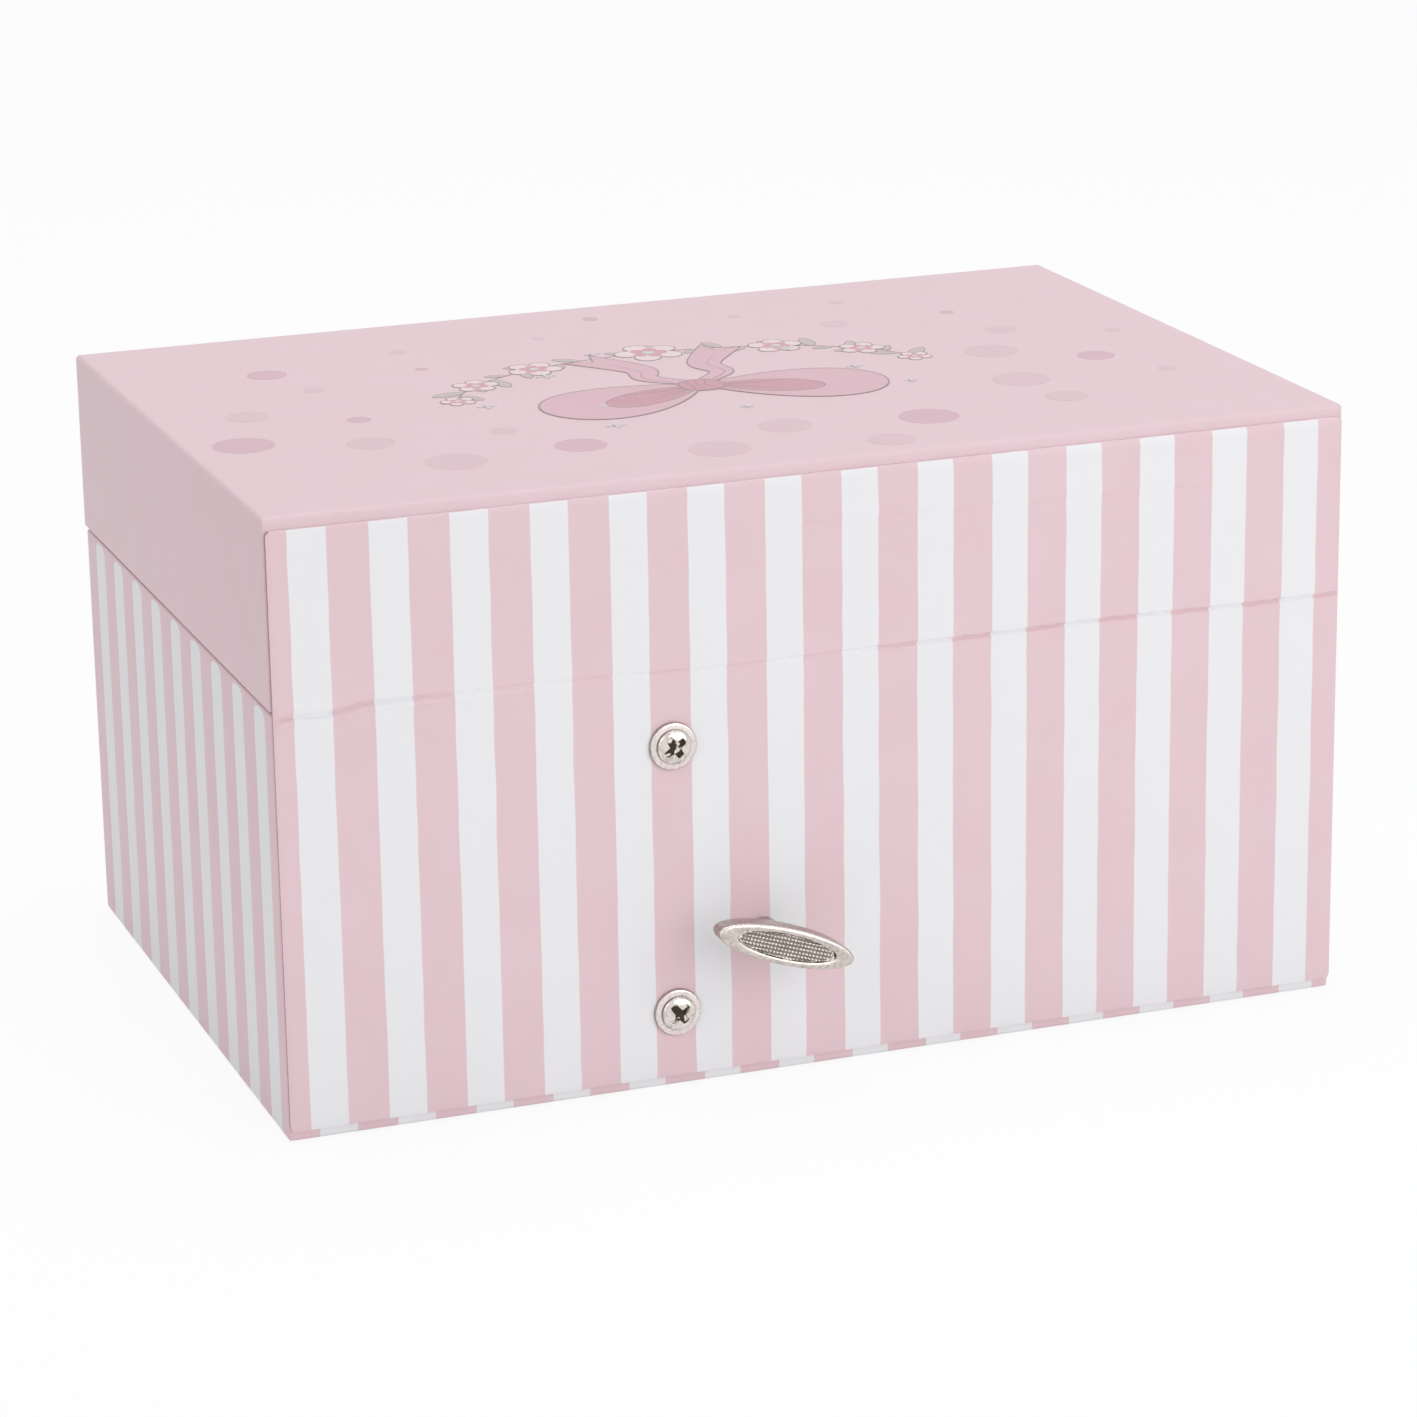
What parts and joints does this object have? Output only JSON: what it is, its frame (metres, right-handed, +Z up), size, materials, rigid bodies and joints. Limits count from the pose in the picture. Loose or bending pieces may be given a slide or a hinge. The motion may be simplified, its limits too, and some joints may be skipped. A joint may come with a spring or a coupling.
{
  "type": "ballerina jewellery box",
  "caption": "Paper-covered jewellery box with a hinged lid, lined wells, a wind-up musical movement on the back wall and a dancer that folds under the lid and turns when it opens.",
  "frame": {"origin": "middle of the box's underside, on the surface it stands on", "axes": "+X along the box's length, +Y from the hinge and key side to the front, +Z up"},
  "size_m": [0.18, 0.1315, 0.1],
  "materials": {
    "pink_paper": "matt printed paper over board",
    "stripe_paper": "matt striped paper over board",
    "spine": "matt striped paper",
    "lining": "flocked card",
    "mirror": "silvered glass",
    "nickel": "nickel plate",
    "steel": "bright steel",
    "brass": "turned brass",
    "zinc": "cast zinc, taken as steel",
    "nylon": "moulded",
    "figure": "painted",
    "tulle": "stiffened net"
  },
  "bodies": {
    "base": {"base_bottom": "stripe_paper", "base_front": "stripe_paper", "base_back": "stripe_paper", "base_left": "stripe_paper", "base_right": "stripe_paper", "spine_paper": "spine", "floor_liner": "lining", "cover_top": "lining", "cover_front": "lining", "cover_left": "lining", "cover_right": "lining", "divider_left": "lining", "divider_right": "lining", "bedplate": "zinc", "comb": "steel", "comb_screw_lower": "nickel", "comb_screw_upper": "nickel", "governor_frame": "steel", "lever_clip": "zinc", "mount_screw_lower": "nickel", "mount_screw_upper": "nickel", "washer_lower": "nickel", "washer_upper": "nickel"},
    "lid": {"lid_top": "pink_paper", "lid_back": "stripe_paper", "lid_front": "pink_paper", "lid_left": "pink_paper", "lid_right": "pink_paper", "lid_lining": "lining", "mirror": "mirror"},
    "key": {"winding_key": "nickel", "winding_arbor": "steel"},
    "barrel": {"barrel_cup": "brass", "barrel_gear": "brass", "barrel_cap": "brass", "mainspring": "steel"},
    "drum_set": {"drum": "brass", "crown_wheel": "brass", "drum_spindle": "steel", "drum_gear": "brass", "spring_seat": "nylon"},
    "idler": {"idler_arbor": "steel", "idler_pinion": "nylon", "idler_wheel": "nylon"},
    "fly": {"fly_arbor": "steel", "fly_pinion": "nylon", "governor_fly": "nylon"},
    "lever": {"stop_lever": "steel"},
    "fold": {"dancer_spring": "steel"},
    "dancer": {"dancer_collar": "nylon", "dancer_figure": "figure", "dancer_skirt": "tulle"}
  },
  "joints": [
    {"name": "lid_hinge", "type": "hinge", "parent": "base", "child": "lid", "pos_m": [0, -0.06, 0.0695], "axis": [1, 0, 0], "range_deg": [0, 105], "deforming": ["spine_paper"]},
    {"name": "key_wind", "type": "hinge", "parent": "base", "child": "key", "pos_m": [-0.0114, -0.06, 0.0252], "axis": [0, 1, 0], "continuous": true},
    {"name": "barrel_spin", "type": "hinge", "parent": "base", "child": "barrel", "pos_m": [-0.0114, -0.049, 0.0252], "axis": [0, 1, 0], "continuous": true},
    {"name": "drum_spin", "type": "hinge", "parent": "base", "child": "drum_set", "pos_m": [-0.0114, -0.043, 0.05], "axis": [0, 0, 1], "continuous": true},
    {"name": "idler_spin", "type": "hinge", "parent": "base", "child": "idler", "pos_m": [-0.0014, -0.043, 0.05], "axis": [0, 0, 1], "continuous": true},
    {"name": "fly_spin", "type": "hinge", "parent": "base", "child": "fly", "pos_m": [0.0066, -0.043, 0.05], "axis": [0, 0, 1], "continuous": true},
    {"name": "stop_lever", "type": "hinge", "parent": "base", "child": "lever", "pos_m": [0.0121, -0.047, 0.06008], "axis": [1, 0, 0], "range_deg": [0, 6]},
    {"name": "dancer_fold", "type": "hinge", "parent": "base", "child": "fold", "pos_m": [-0.0114, -0.04136, 0.07149], "axis": [1, 0, 0], "range_deg": [0, 90], "deforming": ["dancer_spring"]},
    {"name": "dancer_spin", "type": "hinge", "parent": "fold", "child": "dancer", "pos_m": [-0.0114, -0.03536, 0.07313], "axis": [0, 1, 0], "continuous": true}
  ],
  "couplings": [
    {"joint": "drum_spin", "follows": "barrel_spin", "ratio": 2},
    {"joint": "idler_spin", "follows": "barrel_spin", "ratio": -8},
    {"joint": "fly_spin", "follows": "barrel_spin", "ratio": 24},
    {"joint": "dancer_spin", "follows": "barrel_spin", "ratio": 2},
    {"joint": "stop_lever", "follows": "lid_hinge", "ratio": 0.057},
    {"joint": "dancer_fold", "follows": "lid_hinge", "ratio": 0.857}
  ]
}
